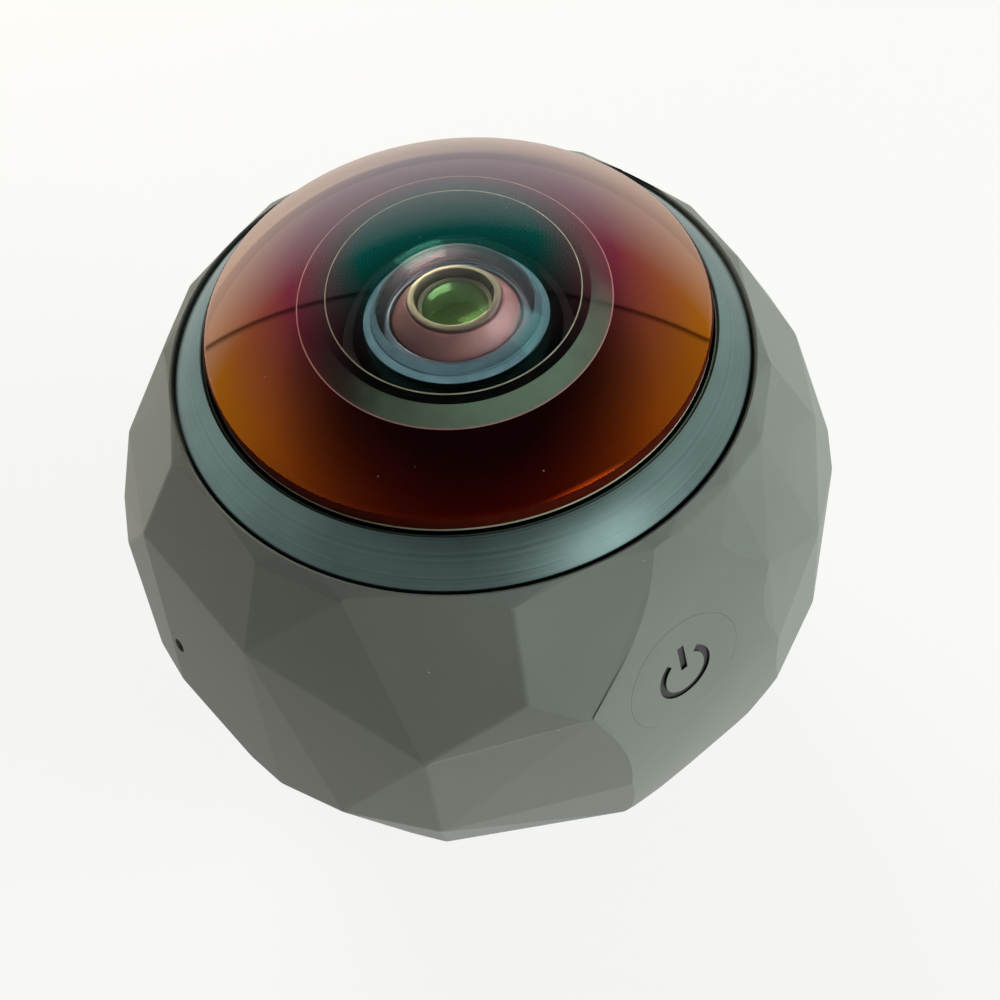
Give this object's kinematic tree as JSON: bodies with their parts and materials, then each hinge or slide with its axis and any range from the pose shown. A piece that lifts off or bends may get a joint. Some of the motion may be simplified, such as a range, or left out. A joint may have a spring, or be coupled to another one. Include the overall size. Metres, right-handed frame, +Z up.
{
  "type": "360 degree camera",
  "caption": "Ball-shaped 360 degree camera with a faceted soft-touch shell, a glass dome over an upward fisheye lens, a round press button and a tripod socket in its flat base.",
  "frame": {"origin": "centre of the tripod socket's mouth, on the flat base", "axes": "+Z up along the lens axis, -Y towards the press button"},
  "size_m": [0.0607, 0.0595, 0.0563],
  "materials": {
    "soft_touch_shell": "soft-touch coated, matt",
    "bezel_metal": "fine turned, blue-grey anodised",
    "black_rubber": "moulded",
    "coated_glass": "polished, amber coated",
    "inner_glass": "polished, coated",
    "mask_print": "printed film",
    "barrel_metal": "black anodised, matt",
    "baffle_plastic": "matt moulded",
    "retainer_metal": "satin anodised",
    "funnel_paint": "matt",
    "cell_metal": "turned",
    "stop_metal": "matt black",
    "sensor_chip": "bare chip",
    "circuit_board": "solder mask",
    "flex_film": "polyimide film",
    "connector_plastic": "moulded",
    "shield_steel": "drawn sheet",
    "chip_black": "moulded",
    "screw_steel": "plain",
    "chassis_plastic": "moulded",
    "pad_foam": "foam",
    "battery_pouch": "laminated pouch",
    "base_plastic": "fine sparked",
    "insert_brass": "turned",
    "contact_gold": "plated",
    "black_screw": "black oxide"
  },
  "bodies": {
    "camera_body": {"faceted_shell": "soft_touch_shell", "bezel_ring": "bezel_metal", "bezel_gasket": "black_rubber", "dome_seal": "black_rubber", "mic_gasket": "black_rubber", "base_seal": "black_rubber", "button_seal": "black_rubber", "front_dome": "coated_glass", "second_element": "inner_glass", "third_element": "inner_glass", "fourth_element": "inner_glass", "rear_element": "inner_glass", "infrared_filter": "inner_glass", "dome_mask": "mask_print", "lens_barrel": "barrel_metal", "rear_retainer": "barrel_metal", "baffle_ring": "baffle_plastic", "barrel_retainer": "retainer_metal", "funnel_baffle": "funnel_paint", "inner_cell": "cell_metal", "aperture_stop": "stop_metal", "image_sensor": "sensor_chip", "sensor_board": "circuit_board", "main_board": "circuit_board", "button_board": "circuit_board", "charge_board": "circuit_board", "sensor_flex": "flex_film", "mic_board": "flex_film", "flex_connectors": "connector_plastic", "processor_shield": "shield_steel", "wireless_module": "shield_steel", "motor_case": "shield_steel", "microphone": "shield_steel", "memory_chip": "chip_black", "tact_switch": "chip_black", "flange_screws": "screw_steel", "sensor_screws": "screw_steel", "board_screws": "screw_steel", "chassis_screws": "screw_steel", "button_screws": "screw_steel", "motor_shaft": "screw_steel", "chassis": "chassis_plastic", "battery_pad": "pad_foam", "battery": "battery_pouch", "base_plate": "base_plastic", "tripod_insert": "insert_brass", "charging_contacts": "contact_gold", "base_screws": "black_screw"},
    "button": {"button_cap": "soft_touch_shell", "switch_plunger": "connector_plastic"},
    "vibration_rotor": {"motor_rotor": "screw_steel"}
  },
  "joints": [
    {"name": "button_press", "type": "slide", "parent": "camera_body", "child": "button", "axis": [0, 0.9539, -0.3], "range_m": [0, 0.0004], "stiffness_N_per_m": 500},
    {"name": "vibration_spin", "type": "hinge", "parent": "camera_body", "child": "vibration_rotor", "pos_m": [-0.009, -0.0104, 0.0231], "axis": [0, 0, 1], "continuous": true}
  ]
}
